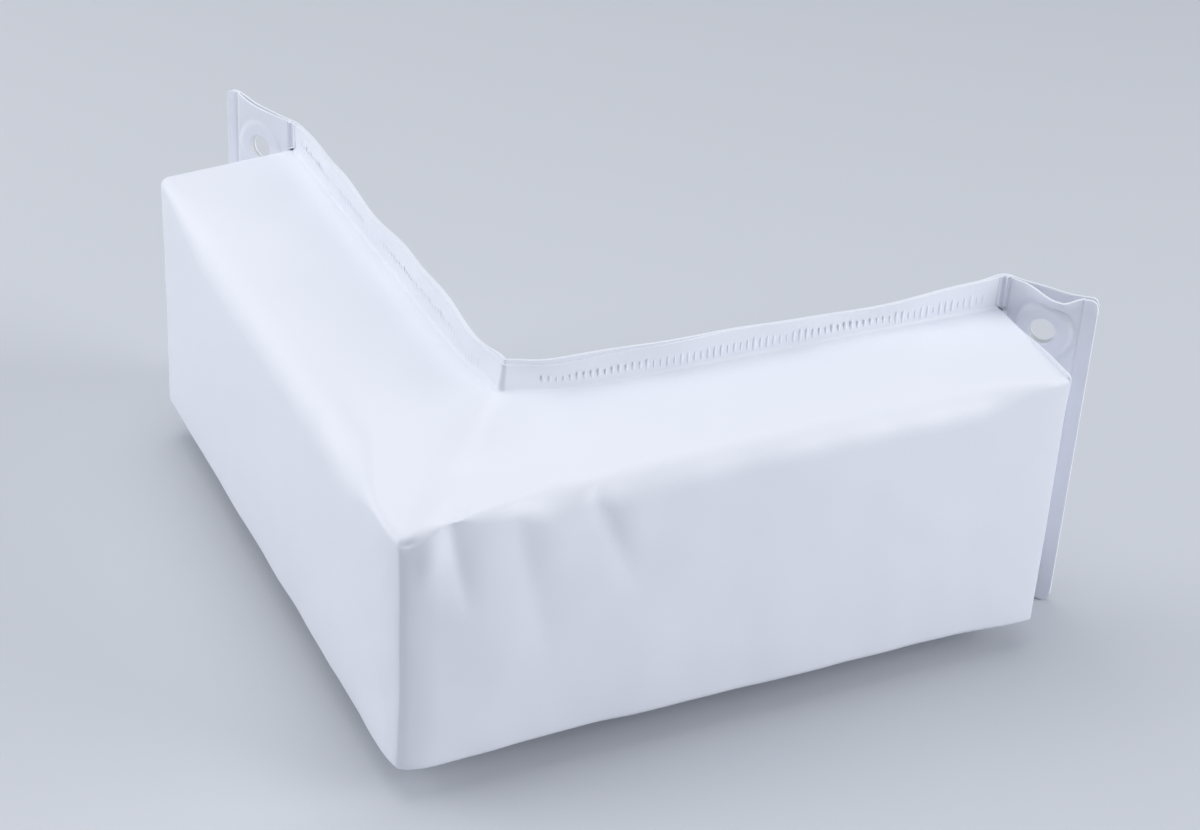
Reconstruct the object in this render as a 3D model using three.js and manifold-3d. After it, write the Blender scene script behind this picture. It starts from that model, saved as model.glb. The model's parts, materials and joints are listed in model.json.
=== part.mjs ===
// Dock corner bumper: an L-shaped foam pad in a welded cover of white vinyl, which wraps the corner of a dock.
// Units are millimetres and +Z is up.
// While it is modelled, the pad's outer vertical corner stands at x = 0, y = 0 and its underside at z = 0.
// One arm runs along +X, the other along +Y, and the dock's corner fills the space between them.
import * as THREE from 'three';
import { mergeVertices } from 'three/addons/utils/BufferGeometryUtils.js';
import Module from 'manifold-3d';

const wasm = await Module();
wasm.setup();

// Pad: each arm is measured from the outer corner to its end, and through to the face on the dock
const rightArmLength = 254;
const leftArmLength = 258;
const rightArmDepth = 50;
const leftArmDepth = 57;
const padHeight = 109;

// Edges of the pad: a soft roll along the top of each arm and a tighter one below it.
// They narrow towards the outer corner, and draw in to crisp seams at the end panels.
const topRollRadius = 12;
const underRollRadius = 4.5;
const cornerRollRadius = 5;
const endRollRadius = 2;
const rollDrawIn = 60;
const outerCornerRadius = 6;

// The soft filling gives the top a slight crown, and lets it fall towards the outer face and slump at the corner
const topCrown = 0.6;
const topFall = 4;
const cornerSlump = 9;
const slumpReach = 90;

// Vinyl sheet, and the clearance between pieces that lie against each other
const vinyl = 0.9;
const fit = 0.3;
const coreFit = 0.5;

// Welded flange: cover and back panel stand up together above the pad and hang below it
const flangeHeight = 12;
const flangeFoldRadius = 2;
const dockCornerRadius = 1.6;

// Weld ribs pressed into the flange
const ribPitch = 3;
const ribWidth = 1.2;
const ribHeight = 3.6;
const ribProud = 0.4;
const ribAbovePad = 3.4;

// End tabs: they stand beyond the pad's ends, leaning forward from the line of their arm
const tabLength = 36;
const rightTabLean = 48;
const leftTabLean = 29;
const tabCornerRadius = 4;
const tabWeldWidth = 4.5;
const creaseRadius = 1.3;
const pocketMouth = 4.5;
const pocketMouthHeight = 7;
const seamLip = 0.8;

// Screw holes and the reinforcing washers between the two layers of each tab
const screwHoleDiameter = 10;
const holeFromCrease = 17.5;
const holeFromEdge = 17;
const washerDiameter = 21;
const washerThickness = 1.2;

// Smoothness of the curves
const bendSteps = 6;
const rollSteps = 5;
const foldSteps = 3;
const topSteps = 5;
const slumpSteps = 6;
const armSteps = 2;
const drawInSteps = 4;
const tabSteps = 12;
const mouthSteps = 4;
const roundSteps = 32;

const quarter = Math.PI / 2;
const mix = THREE.MathUtils.lerp;
const smooth = THREE.MathUtils.smoothstep;

// Solids and joins

function toSolid(geometry) {
  const bare = geometry.clone();
  bare.deleteAttribute('normal');
  bare.deleteAttribute('uv');
  const merged = mergeVertices(bare, 1e-4);
  return new wasm.Manifold(new wasm.Mesh({
    numProp: 3,
    vertProperties: new Float32Array(merged.attributes.position.array),
    triVerts: new Uint32Array(merged.index.array),
  }));
}

function toGeometry(solid) {
  const mesh = solid.getMesh();
  const geometry = new THREE.BufferGeometry();
  geometry.setAttribute('position', new THREE.BufferAttribute(new Float32Array(mesh.vertProperties), 3));
  geometry.setIndex(new THREE.BufferAttribute(new Uint32Array(mesh.triVerts), 1));
  geometry.computeVertexNormals();
  return geometry;
}

function join(first, ...others) {
  return toGeometry(others.reduce((solid, other) => solid.add(toSolid(other)), toSolid(first)));
}

function cut(first, ...cutters) {
  return toGeometry(cutters.reduce((solid, cutter) => solid.subtract(toSolid(cutter)), toSolid(first)));
}

// A closed body through a row of rings with equally many points, its two ends filled in
function loft(rings, endOutline) {
  const count = rings[0].length;
  const last = (rings.length - 1) * count;
  const index = [];
  for (let ring = 0; ring < last; ring += count) {
    for (let k = 0; k < count; k += 1) {
      const next = (k + 1) % count;
      index.push(ring + k, ring + count + k, ring + next);
      index.push(ring + next, ring + count + k, ring + count + next);
    }
  }
  for (const face of THREE.ShapeUtils.triangulateShape(endOutline, [])) {
    const corners = face.map((k) => endOutline[k]);
    const sameTurn = THREE.ShapeUtils.isClockWise(corners) === THREE.ShapeUtils.isClockWise(endOutline);
    const [a, b, c] = sameTurn ? face : [...face].reverse();
    index.push(a, b, c);
    index.push(last + c, last + b, last + a);
  }
  const geometry = new THREE.BufferGeometry().setFromPoints(rings.flat());
  geometry.setIndex(index);
  return geometry;
}

// A piece drawn for the right arm becomes one for the left arm by trading x for y
function onLeftArm(geometry) {
  const swapped = geometry.index ? geometry.toNonIndexed() : geometry.clone();
  swapped.applyMatrix4(new THREE.Matrix4().set(0, 1, 0, 0, 1, 0, 0, 0, 0, 0, 1, 0, 0, 0, 0, 1));
  const order = [];
  for (let corner = 0; corner < swapped.attributes.position.count; corner += 3) {
    order.push(corner, corner + 2, corner + 1);
  }
  swapped.setIndex(order);
  return swapped;
}

// Cross-section of the pad and its flanges: n is the depth from the outer face, z the height.
// Inset is how far a line lies under the visible face, and bend its radius in plan at the corner.

function flangeFace(depth) {
  return depth - 2 * vinyl - fit;
}

function sectionPoint(depth, visible, n, z) {
  const flangeBend = dockCornerRadius + 2 * vinyl + fit;
  const bend = mix(outerCornerRadius, flangeBend, visible / flangeFace(depth));
  return { n, z, bend: bend - (n - visible) };
}

function sectionArc(depth, centre, radius, change, from, to, steps) {
  const points = [];
  for (let i = 0; i <= steps; i += 1) {
    const angle = mix(from, to, i / steps);
    const visible = centre[0] + radius * Math.cos(angle);
    const n = centre[0] + (radius + change) * Math.cos(angle);
    points.push(sectionPoint(depth, visible, n, centre[1] + (radius + change) * Math.sin(angle)));
  }
  return points;
}

const outerHeight = padHeight - topFall;

function outerRolls(depth, { under, top }, inset) {
  return [
    ...sectionArc(depth, [under, under], under, -inset, 3 * quarter, 2 * quarter, rollSteps),
    ...sectionArc(depth, [top, outerHeight - top], top, -inset, 2 * quarter, quarter, rollSteps),
  ];
}

function topRun(depth, start, end, inset) {
  const points = [];
  for (let i = 1; i < topSteps; i += 1) {
    const share = i / topSteps;
    const n = mix(start, end, share);
    const crown = topCrown * Math.sin(Math.PI * share);
    points.push(sectionPoint(depth, n, n, mix(outerHeight, padHeight, share) + crown - inset));
  }
  return points;
}

function coverLine(depth, rolls, inset) {
  const face = flangeFace(depth);
  const fold = flangeFoldRadius;
  return [
    sectionPoint(depth, face, face + inset, -flangeHeight),
    ...sectionArc(depth, [face - fold, -fold], fold, inset, 0, quarter, foldSteps),
    ...outerRolls(depth, rolls, inset),
    ...topRun(depth, rolls.top, face - fold, inset),
    ...sectionArc(depth, [face - fold, padHeight + fold], fold, inset, 3 * quarter, 4 * quarter, foldSteps),
    sectionPoint(depth, face, face + inset, padHeight + flangeHeight),
  ];
}

function coverSection(depth, rolls) {
  return [...coverLine(depth, rolls, 0), ...coverLine(depth, rolls, vinyl).reverse()];
}

function foamSection(depth, rolls) {
  const inset = vinyl + coreFit;
  const back = depth - inset;
  return [
    sectionPoint(depth, flangeFace(depth), back, inset),
    ...outerRolls(depth, rolls, inset),
    ...topRun(depth, rolls.top, back, inset),
    sectionPoint(depth, flangeFace(depth), back, padHeight - inset),
  ];
}

// Sweep of a section along the left arm, round the corner and along the right arm

// Radii of the two long edges: opened runs from 0 at the outer corner to 1, closed from 0 to 1 at the end
function rollsAt(opened, closed) {
  const top = mix(cornerRollRadius, topRollRadius, smooth(opened, 0, 1));
  return {
    top: mix(top, endRollRadius, smooth(closed, 0, 1)),
    under: mix(underRollRadius, endRollRadius, smooth(closed, 0, 1)),
  };
}

function armStations(length) {
  const drawInStart = 1 - rollDrawIn / length;
  const slumpEnd = Math.min(slumpReach / length, drawInStart);
  const stations = [];
  for (let i = 1; i <= slumpSteps; i += 1) {
    const share = i / slumpSteps;
    stations.push({ along: slumpEnd * share, rolls: rollsAt(share, 0) });
  }
  for (let i = 1; i <= armSteps; i += 1) {
    stations.push({ along: mix(slumpEnd, drawInStart, i / armSteps), rolls: rollsAt(1, 0) });
  }
  for (let i = 1; i <= drawInSteps; i += 1) {
    const share = i / drawInSteps;
    stations.push({ along: mix(drawInStart, 1, share), rolls: rollsAt(1, share) });
  }
  return stations;
}

function cornerStations() {
  const stations = [];
  for (let i = 0; i <= bendSteps; i += 1) {
    stations.push({ angle: mix(2 * quarter, 3 * quarter, i / bendSteps), rolls: rollsAt(0, 0) });
  }
  return stations;
}

function slumped(x, y, z) {
  const near = 1 - smooth(Math.hypot(x, y), 0, slumpReach);
  return z - cornerSlump * near * smooth(z, 0, outerHeight);
}

function sweepRoundCorner(section) {
  const ring = (station, place) => {
    const left = section(leftArmDepth, station.rolls);
    const right = section(rightArmDepth, station.rolls);
    return left.map((point, k) => {
      const bend = (point.bend + right[k].bend) / 2;
      const [x, y] = place(station, point.n, right[k].n, bend);
      return new THREE.Vector3(x, y, slumped(x, y, point.z));
    });
  };
  const under = vinyl + fit;
  const onLeft = (station, x, y, bend) => [x, mix(y + bend, leftArmLength - under, station.along)];
  const onRight = (station, x, y, bend) => [mix(x + bend, rightArmLength - under, station.along), y];
  const onCorner = (station, x, y, bend) => [
    x + bend * (1 + Math.cos(station.angle)),
    y + bend * (1 + Math.sin(station.angle)),
  ];
  const rings = [
    ...armStations(leftArmLength).reverse().map((station) => ring(station, onLeft)),
    ...cornerStations().map((station) => ring(station, onCorner)),
    ...armStations(rightArmLength).map((station) => ring(station, onRight)),
  ];
  const outline = section(rightArmDepth, rollsAt(1, 1)).map((point) => new THREE.Vector2(point.n, point.z));
  return loft(rings, outline);
}

// Plan lines: a tab starts at the crease and leans forward from the line of its arm.
// Both are drawn for the right arm, and the left arm's are traded over.

function tabFrame(armLength, armDepth, lean) {
  const angle = THREE.MathUtils.degToRad(lean);
  const ridgeInset = vinyl + fit + creaseRadius;
  const start = ridgeInset * Math.tan(angle / 2) + creaseRadius - vinyl;
  return {
    crease: new THREE.Vector2(armLength + start, armDepth),
    ridgeInset,
    start,
    along: new THREE.Vector2(Math.cos(angle), -Math.sin(angle)),
    forward: new THREE.Vector2(-Math.sin(angle), -Math.cos(angle)),
    mitre: new THREE.Vector2(-Math.tan(angle / 2), -1),
    armLength,
    armDepth,
    lean: angle,
  };
}

const rightTab = tabFrame(rightArmLength, rightArmDepth, rightTabLean);
const leftTab = tabFrame(leftArmLength, leftArmDepth, leftTabLean);

function tabPoint(tab, distance, offset) {
  const ahead = Math.max(distance, 0);
  const start = Math.max(0, 1 - ahead / tab.start);
  return tab.crease.clone()
    .addScaledVector(tab.mitre, offset * start)
    .addScaledVector(tab.forward, offset * (1 - start))
    .addScaledVector(tab.along, ahead);
}

function upright(points, low, high) {
  const geometry = new THREE.ExtrudeGeometry(new THREE.Shape(points), {
    depth: high - low,
    bevelEnabled: false,
  });
  return geometry.translate(0, 0, low);
}

const lowest = -flangeHeight;
const highest = padHeight + flangeHeight;

// A round bar that stands across a tab, on the axis of one of its screw holes
function acrossTab(tab, height, radius, thickness, centreOffset) {
  const bar = new THREE.CylinderGeometry(radius, radius, thickness, roundSteps);
  return placeAcrossTab(bar, tab, height, centreOffset);
}

function placeAcrossTab(geometry, tab, height, centreOffset) {
  const centre = tabPoint(tab, holeFromCrease, centreOffset);
  geometry.rotateZ(-tab.lean);
  return geometry.translate(centre.x, centre.y, height);
}

const holeHeights = { upper: highest - holeFromEdge, lower: lowest + holeFromEdge };
const acrossBothLayers = 4 * (2 * vinyl + washerThickness + 2 * fit);

function screwHoles(tab) {
  return Object.values(holeHeights).map(
    (height) => acrossTab(tab, height, screwHoleDiameter / 2, acrossBothLayers, 0),
  );
}

// What rounds off one corner of a tab's free end: up is 1 for the top corner and -1 for the bottom one
function cornerCutter(tab, end, up) {
  const past = 1;
  const shape = new THREE.Shape();
  shape.moveTo(past, past);
  shape.lineTo(-tabCornerRadius, past);
  shape.lineTo(-tabCornerRadius, 0);
  shape.absarc(-tabCornerRadius, -tabCornerRadius, tabCornerRadius, quarter, 0, true);
  shape.lineTo(past, -tabCornerRadius);
  const cutter = new THREE.ExtrudeGeometry(shape, {
    depth: acrossBothLayers,
    bevelEnabled: false,
    curveSegments: bendSteps,
  });
  cutter.translate(0, 0, -acrossBothLayers / 2);
  cutter.rotateX(up * quarter);
  const outer = tabPoint(tab, tabLength, 0);
  cutter.rotateZ(-tab.lean);
  return cutter.translate(outer.x, outer.y, end);
}

function tabTrimmers(tab) {
  return [...screwHoles(tab), cornerCutter(tab, highest, 1), cornerCutter(tab, lowest, -1)];
}

// Back panel: one sheet from tab to tab, against the dock

function armLine(tab, bendCentre, offset) {
  const mitred = tab.crease.clone().addScaledVector(tab.mitre, offset);
  const end = tab.crease.clone().addScaledVector(tab.along, tabLength).addScaledVector(tab.forward, offset);
  const start = new THREE.Vector2(bendCentre, tab.armDepth - offset);
  return [start, mitred, end];
}

function panelLine(offset) {
  const centre = [leftArmDepth + dockCornerRadius, rightArmDepth + dockCornerRadius];
  const radius = dockCornerRadius + offset;
  const left = armLine(leftTab, centre[1], offset).map((point) => new THREE.Vector2(point.y, point.x));
  const right = armLine(rightTab, centre[0], offset);
  const bend = [];
  for (let i = 1; i < bendSteps; i += 1) {
    const angle = mix(2 * quarter, 3 * quarter, i / bendSteps);
    bend.push(new THREE.Vector2(centre[0] + radius * Math.cos(angle), centre[1] + radius * Math.sin(angle)));
  }
  return [...left.reverse(), ...bend, ...right];
}

function backPanel() {
  const sheet = upright([...panelLine(0).reverse(), ...panelLine(vinyl)], lowest, highest);
  return cut(sheet, ...tabTrimmers(rightTab), ...tabTrimmers(leftTab).map(onLeftArm));
}

// Front cover: flange, top, outer face, underside and flange again in one sheet, with the weld ribs

function flangeRibs(low) {
  const ridge = new THREE.BoxGeometry(ribWidth, 2 * ribProud, ribHeight);
  const radius = dockCornerRadius + 2 * vinyl + fit;
  const inner = [flangeFace(leftArmDepth), flangeFace(rightArmDepth)];
  const path = new THREE.Path();
  path.moveTo(inner[0], leftArmLength - ribPitch);
  path.lineTo(inner[0], inner[1] + radius);
  path.absarc(inner[0] + radius, inner[1] + radius, radius, 2 * quarter, 3 * quarter, false);
  path.lineTo(rightArmLength - ribPitch, inner[1]);
  const gaps = Math.floor(path.getLength() / ribPitch);
  const ribs = [];
  for (let i = 0; i <= gaps; i += 1) {
    const spot = path.getPointAt(i / gaps);
    const heading = path.getTangentAt(i / gaps);
    const rib = ridge.clone().rotateZ(Math.atan2(heading.y, heading.x));
    ribs.push(rib.translate(spot.x, spot.y, low + ribHeight / 2));
  }
  return ribs;
}

function frontCover() {
  return join(
    sweepRoundCorner(coverSection),
    ...flangeRibs(padHeight + ribAbovePad),
    ...flangeRibs(-ribAbovePad - ribHeight),
  );
}

// End panel: it closes the pad's end, folds back at the crease and becomes the front layer of the tab

function pocketGap(distance, height) {
  const weldStart = tabLength - tabWeldWidth;
  const washerFrom = holeFromCrease - washerDiameter / 2 - fit;
  const washerTo = holeFromCrease + washerDiameter / 2 + fit;
  const rise = smooth(distance, 0, washerFrom) * (1 - smooth(distance, washerTo, weldStart));
  const fromEdge = Math.min(highest - height, height - lowest);
  const mouth = 1 - smooth(fromEdge, 0, pocketMouthHeight);
  const belly = Math.sin(Math.PI * THREE.MathUtils.clamp(distance / weldStart, 0, 1));
  return fit + (washerThickness + fit) * rise + pocketMouth * mouth * belly;
}

function heightSteps() {
  const edge = [];
  for (let i = 0; i <= mouthSteps; i += 1) {
    edge.push((pocketMouthHeight * i) / mouthSteps);
  }
  return [...edge.map((rise) => lowest + rise), ...edge.reverse().map((drop) => highest - drop)];
}

function tabDistances() {
  const weldStart = tabLength - tabWeldWidth;
  const distances = [];
  for (let i = 0; i <= tabSteps; i += 1) {
    distances.push((weldStart * i) / tabSteps);
  }
  return [...distances, tabLength];
}

function tabFrontLayer(tab) {
  const heights = heightSteps();
  const skinPoint = (distance, height, layer) => {
    const spot = tabPoint(tab, distance, vinyl + pocketGap(distance, height) + layer);
    return new THREE.Vector3(spot.x, spot.y, height);
  };
  const rings = tabDistances().map((distance) => [
    ...heights.map((height) => skinPoint(distance, height, vinyl)),
    ...heights.map((height) => skinPoint(distance, height, 0)).reverse(),
  ]);
  const outline = [
    ...heights.map((height) => new THREE.Vector2(0, height)),
    ...heights.map((height) => new THREE.Vector2(vinyl, height)).reverse(),
  ];
  return loft(rings, outline);
}

function endPlate(tab) {
  const back = tab.armDepth - vinyl - fit;
  const radius = endRollRadius + seamLip;
  const shape = new THREE.Shape();
  shape.moveTo(back, -seamLip);
  shape.lineTo(back, padHeight + seamLip);
  shape.lineTo(radius - seamLip, outerHeight + seamLip);
  shape.absarc(radius - seamLip, outerHeight + seamLip - radius, radius, quarter, 2 * quarter, false);
  shape.lineTo(-seamLip, radius - seamLip);
  shape.absarc(radius - seamLip, radius - seamLip, radius, 2 * quarter, 3 * quarter, false);
  const plate = new THREE.ExtrudeGeometry(shape, { depth: vinyl, bevelEnabled: false, curveSegments: rollSteps });
  plate.rotateX(quarter).rotateZ(quarter);
  return plate.translate(tab.armLength - vinyl, 0, 0);
}

function creaseRidge(tab) {
  const spot = tab.crease.clone().addScaledVector(tab.mitre, tab.ridgeInset);
  const ridge = new THREE.CylinderGeometry(creaseRadius, creaseRadius, highest - lowest, 2 * bendSteps);
  return ridge.rotateX(quarter).translate(spot.x, spot.y, (highest + lowest) / 2);
}

// The strip behind the pad's end that joins the end plate to the crease
function creaseBridge(tab) {
  const near = flangeFace(tab.armDepth);
  const far = tab.crease.x + tab.mitre.x * tab.ridgeInset;
  const start = tab.armLength - vinyl;
  const bridge = new THREE.BoxGeometry(far - start, vinyl, padHeight + 2 * seamLip);
  return bridge.translate((far + start) / 2, near + vinyl / 2, padHeight / 2);
}

function endPanel(tab) {
  const sheet = join(endPlate(tab), creaseBridge(tab), creaseRidge(tab), tabFrontLayer(tab));
  return cut(sheet, ...tabTrimmers(tab));
}

function washer(tab, height) {
  const inner = screwHoleDiameter / 2;
  const outer = washerDiameter / 2;
  const half = washerThickness / 2;
  const profile = [[inner, -half], [outer, -half], [outer, half], [inner, half], [inner, -half]];
  const ring = new THREE.LatheGeometry(profile.map(([r, h]) => new THREE.Vector2(r, h)), roundSteps);
  return placeAcrossTab(ring, tab, height, vinyl + fit + half);
}

// Materials

const whiteVinyl = { color: 0xe6ecf6, roughness: 0.42, metalness: 0 };
const paleFoam = { color: 0xe9e4d4, roughness: 0.95, metalness: 0 };
const milkyPlastic = { color: 0xe4e4e0, roughness: 0.35, metalness: 0 };

const bumper = new THREE.Group();

function addPiece(name, geometry, finish) {
  const mesh = new THREE.Mesh(geometry, new THREE.MeshStandardMaterial(finish));
  mesh.name = name;
  bumper.add(mesh);
}

addPiece('foam_core', sweepRoundCorner(foamSection), paleFoam);
addPiece('front_cover', frontCover(), whiteVinyl);
addPiece('back_panel', backPanel(), whiteVinyl);
addPiece('right_end_panel', endPanel(rightTab), whiteVinyl);
addPiece('left_end_panel', onLeftArm(endPanel(leftTab)), whiteVinyl);
for (const [place, height] of Object.entries(holeHeights)) {
  addPiece(`right_${place}_washer`, washer(rightTab, height), milkyPlastic);
  addPiece(`left_${place}_washer`, onLeftArm(washer(leftTab, height)), milkyPlastic);
}

// The finished part stands on its lower flange, with its middle over the origin
const extent = new THREE.Box3().setFromObject(bumper);
const middle = extent.getCenter(new THREE.Vector3());
bumper.position.set(-middle.x, -middle.y, -extent.min.z);

const part = new THREE.Group();
part.add(bumper);

export default part;
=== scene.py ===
# %% [markdown]
# # A dock corner bumper in white vinyl
#
# The bumper is an L-shaped block of soft foam in a cover of white PVC sheet. It wraps the corner of a
# dock, and screws through the tab beyond each arm hold it there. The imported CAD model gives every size
# and place. This lesson gives the bumper its soft surfaces, its welds and its finish.
#
# We work in millimetres, measured from the pad's outer vertical corner at the height of the pad's
# underside, since that is how a maker would measure it. One small function turns such points into metres
# in the model's frame.

# %% Load the frame and read the sizes from it
import json
import math

import bmesh
import bpy
import numpy as np
from mathutils import Euler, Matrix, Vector, noise


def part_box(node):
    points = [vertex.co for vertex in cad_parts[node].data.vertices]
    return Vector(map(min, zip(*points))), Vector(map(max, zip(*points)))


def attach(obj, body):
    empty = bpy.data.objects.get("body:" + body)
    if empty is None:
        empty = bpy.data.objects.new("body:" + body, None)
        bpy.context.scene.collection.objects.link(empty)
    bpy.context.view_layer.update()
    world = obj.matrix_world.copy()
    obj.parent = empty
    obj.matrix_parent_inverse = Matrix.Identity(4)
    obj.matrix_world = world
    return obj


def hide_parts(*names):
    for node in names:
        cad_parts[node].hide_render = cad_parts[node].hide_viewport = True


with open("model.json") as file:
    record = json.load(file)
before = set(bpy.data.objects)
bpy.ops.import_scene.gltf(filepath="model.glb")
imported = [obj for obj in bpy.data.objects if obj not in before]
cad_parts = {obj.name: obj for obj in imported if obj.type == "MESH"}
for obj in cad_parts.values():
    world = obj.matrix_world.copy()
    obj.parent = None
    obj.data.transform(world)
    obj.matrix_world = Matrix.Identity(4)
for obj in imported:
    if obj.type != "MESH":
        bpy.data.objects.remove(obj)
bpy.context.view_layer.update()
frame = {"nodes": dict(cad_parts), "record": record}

MM = 0.001
# Thickness of the sheet, room between two layers of it, and height of the welded flange.
vinyl = 0.9
gap = 0.3
flange_height = 12.0
mounts = {mount["name"]: mount for mount in frame["record"]["mounts"]}
cover_low, cover_high = (np.array(corner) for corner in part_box("front_cover"))
pad_corner = cover_low + np.array([0, 0, flange_height * MM])


def from_corner(place):
    """A place in the frame, in metres, as millimetres from the pad's corner."""
    return (np.array(place) - pad_corner) / MM


right_length, left_length = from_corner(cover_high)[:2] + vinyl + gap
flange_top = from_corner(cover_high)[2]
pad_height = flange_top - flange_height
right_depth = from_corner(mounts["right_dock_face"]["pos_m"])[1]
left_depth = from_corner(mounts["left_dock_face"]["pos_m"])[0]
print("arms", *np.round([right_length, left_length], 1), "depths", *np.round([right_depth, left_depth], 1))

# %% [markdown]
# ## Helpers that shape a surface
#
# Soft surfaces are easiest to shape with a few smooth functions of position: a ramp that goes from 0 to
# 1, a hill with its top at one place, and a crease, which is a hill with a sharp ridge. Every fold and
# dent below is one of them times a depth in millimetres.


# %% Smooth functions and grids
def mix(start, end, share):
    return start + (end - start) * share


def ramp(value, start, end):
    share = np.clip((value - start) / (end - start), 0, 1)
    return share * share * (3 - 2 * share)


def hill(value, centre, width):
    return np.exp(-(((value - centre) / width) ** 2))


def hills(value, table):
    """Sum of the hills in a table of centre, width and rise."""
    return sum(rise * hill(value, centre, width) for centre, width, rise in table)


def crease(value, before, after, softness=0.7):
    """1 on the line where value is 0. It falls off within about before on one side and after on the other."""
    width = np.where(value < 0, before, after)
    return np.exp(-(np.sqrt(value**2 + softness**2) - softness) / width)


def grid_faces(rows, columns):
    """Four-sided faces of a grid. From outside, its rows run from left to right and its columns upwards."""
    first = (np.arange(rows - 1)[:, None] * columns + np.arange(columns - 1)).ravel()
    return np.stack([first, first + columns, first + columns + 1, first + 1], axis=1)


def grid_normals(points):
    across = np.cross(np.gradient(points, axis=0), np.gradient(points, axis=1))
    return across / np.maximum(np.linalg.norm(across, axis=2, keepdims=True), 1e-9)


def push(points, distance):
    """Moves a grid's points outwards, each by its own distance."""
    return points + grid_normals(points) * distance[..., None]


# %% Points to Blender objects
def new_piece(name, points, faces=(), edges=()):
    """A mesh object from points in millimetres from the pad's corner."""
    mesh = bpy.data.meshes.new(name)
    places = pad_corner + np.asarray(points).reshape(-1, 3) * MM
    mesh.from_pydata(places.tolist(), edges, [list(map(int, face)) for face in faces])
    piece = bpy.data.objects.new(name, mesh)
    bpy.context.scene.collection.objects.link(piece)
    return piece


def add_modifier(piece, kind, **settings):
    modifier = piece.modifiers.new(kind.title(), kind)
    for name, value in settings.items():
        setattr(modifier, name, value)
    return modifier


def merge_doubles(piece, within=1e-6):
    """Makes one point of points at the same place, where a grid closes or a row has no length."""
    add_modifier(piece, "WELD", merge_threshold=within)


def finish_mesh(piece, sharp_from=40):
    """Applies the modifiers and shades the mesh smooth, apart from edges sharper than sharp_from degrees."""
    graph = bpy.context.evaluated_depsgraph_get()
    mesh = bpy.data.meshes.new_from_object(piece.evaluated_get(graph))
    piece.modifiers.clear()
    piece.data = mesh
    mesh.name = piece.name
    mesh.shade_smooth()
    mesh.set_sharp_from_angle(angle=math.radians(sharp_from))
    print(piece.name, len(mesh.polygons), "faces")


def thicken(piece, thickness=vinyl, rounding=0.2):
    """Turns a layer of faces into a sheet. Its thickness goes to the hidden side, with rounded cut edges."""
    add_modifier(piece, "SOLIDIFY", thickness=thickness * MM, offset=-1)
    add_modifier(piece, "BEVEL", width=rounding * MM, segments=2, limit_method="ANGLE",
                 angle_limit=math.radians(60))
    finish_mesh(piece)


# %% [markdown]
# ## The sweep round the corner
#
# Flange, top, outer faces and underside are one sheet, bent round one path: down the left arm, round the
# corner and out along the right arm. We describe it as a grid. Each row is one station along the path and
# each column one line of the section. The real outer corner isn't a neat quarter circle: the left face
# bends in a little, the sheet turns sharply in one line, and then it eases into the right face. We write
# down how far it has turned after so many millimetres, and adding up small steps in those directions
# gives the curve.

# %% Stations along the path
arm_cells = 110
corner_cells = 26
arm_share = ((np.arange(arm_cells) + 1) / arm_cells) ** 1.3
corner_share = np.linspace(0, 1, corner_cells + 1)
on_left = slice(0, arm_cells)
on_corner = slice(arm_cells, arm_cells + corner_cells + 1)
on_right = slice(arm_cells + corner_cells + 1, None)
stations = 2 * arm_cells + corner_cells + 1
print("stations", stations)


# %% The outer corner as a row of turns
turned_after = [0, 13, 14.5, 18, 28]
turned_by = np.radians([0, 12, 54, 76, 90])
walk = np.linspace(0, turned_after[-1], 401)
heading = np.interp(walk, turned_after, turned_by)
walk_y = np.concatenate([[0], np.cumsum(np.cos(heading[1:]) * np.diff(walk))])
walk_x = np.concatenate([[0], np.cumsum(np.sin(heading[1:]) * np.diff(walk))])
outer_bend_left, outer_bend_right = walk_y[-1], walk_x[-1]
still_to_go = np.interp(corner_share * walk[-1], walk, 1 - walk_y / outer_bend_left)[:, None]
already_gone = np.interp(corner_share * walk[-1], walk, walk_x / outer_bend_right)[:, None]
print("corner takes", *np.round([outer_bend_left, outer_bend_right], 1), "mm of the two faces")


def round_the_corner(in_left, in_right, bend_left, bend_right, circle, under):
    """Plan places of a grid whose points lie in_left and in_right from the outer faces of the two arms."""
    x = in_left.copy()
    y = in_right.copy()
    under = np.broadcast_to(under, (stations, 1))
    y[on_left] = mix(in_right[on_left] + bend_left, left_length - under[on_left], arm_share[::-1, None])
    x[on_right] = mix(in_left[on_right] + bend_right, right_length - under[on_right], arm_share[:, None])
    quarter = corner_share[:, None] * math.pi / 2
    y[on_corner] += bend_left * mix(still_to_go, 1 - np.sin(quarter), circle)
    x[on_corner] += bend_right * mix(already_gone, 1 - np.cos(quarter), circle)
    return x, y


# %% How far each station lies from the corner
reach = np.concatenate([arm_share[::-1] * left_length, 0 * corner_share, arm_share * right_length])[:, None]
from_end = np.concatenate([
    (1 - arm_share[::-1]) * left_length,
    0 * corner_share + right_length,
    (1 - arm_share) * right_length,
])[:, None]
right_side = np.concatenate([0 * arm_share, corner_share, 0 * arm_share + 1])[:, None]
along_right = np.concatenate([
    0 * arm_share,
    outer_bend_right * corner_share,
    mix(outer_bend_right, right_length, arm_share),
])[:, None]
print("reach of the arms", round(float(reach[0, 0])), round(float(reach[-1, 0])))

# %% [markdown]
# ## The section of the pad
#
# The section starts at the lower edge of the hidden flange, runs under the pad, up the outer face and
# back over the top to the upper flange. Its long edges are soft rolls, because nothing but foam holds
# them. They tighten to crisp seams where the end panels are welded in, and at the outer corner where
# three faces meet. By the corner the right arm's top roll is gathered: each fold nips it, and between two
# folds it puffs out.

# %% Roll radii at each station
top_fall = 4.0
fold_radius = 1.4
roll_draw_in = mix(60.0, 36.0, right_side)
arm_roll = mix(17.0, 11.0, right_side)
corner_roll = 3.0
end_roll = mix(3.5, 1.6, right_side)
low_arm_roll, low_corner_roll = 4.0, 3.5
low_end_roll = mix(6.0, 1.6, right_side)
tightest_roll = 2.4
roll_opens_from, roll_open_at = 3, 42


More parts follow.
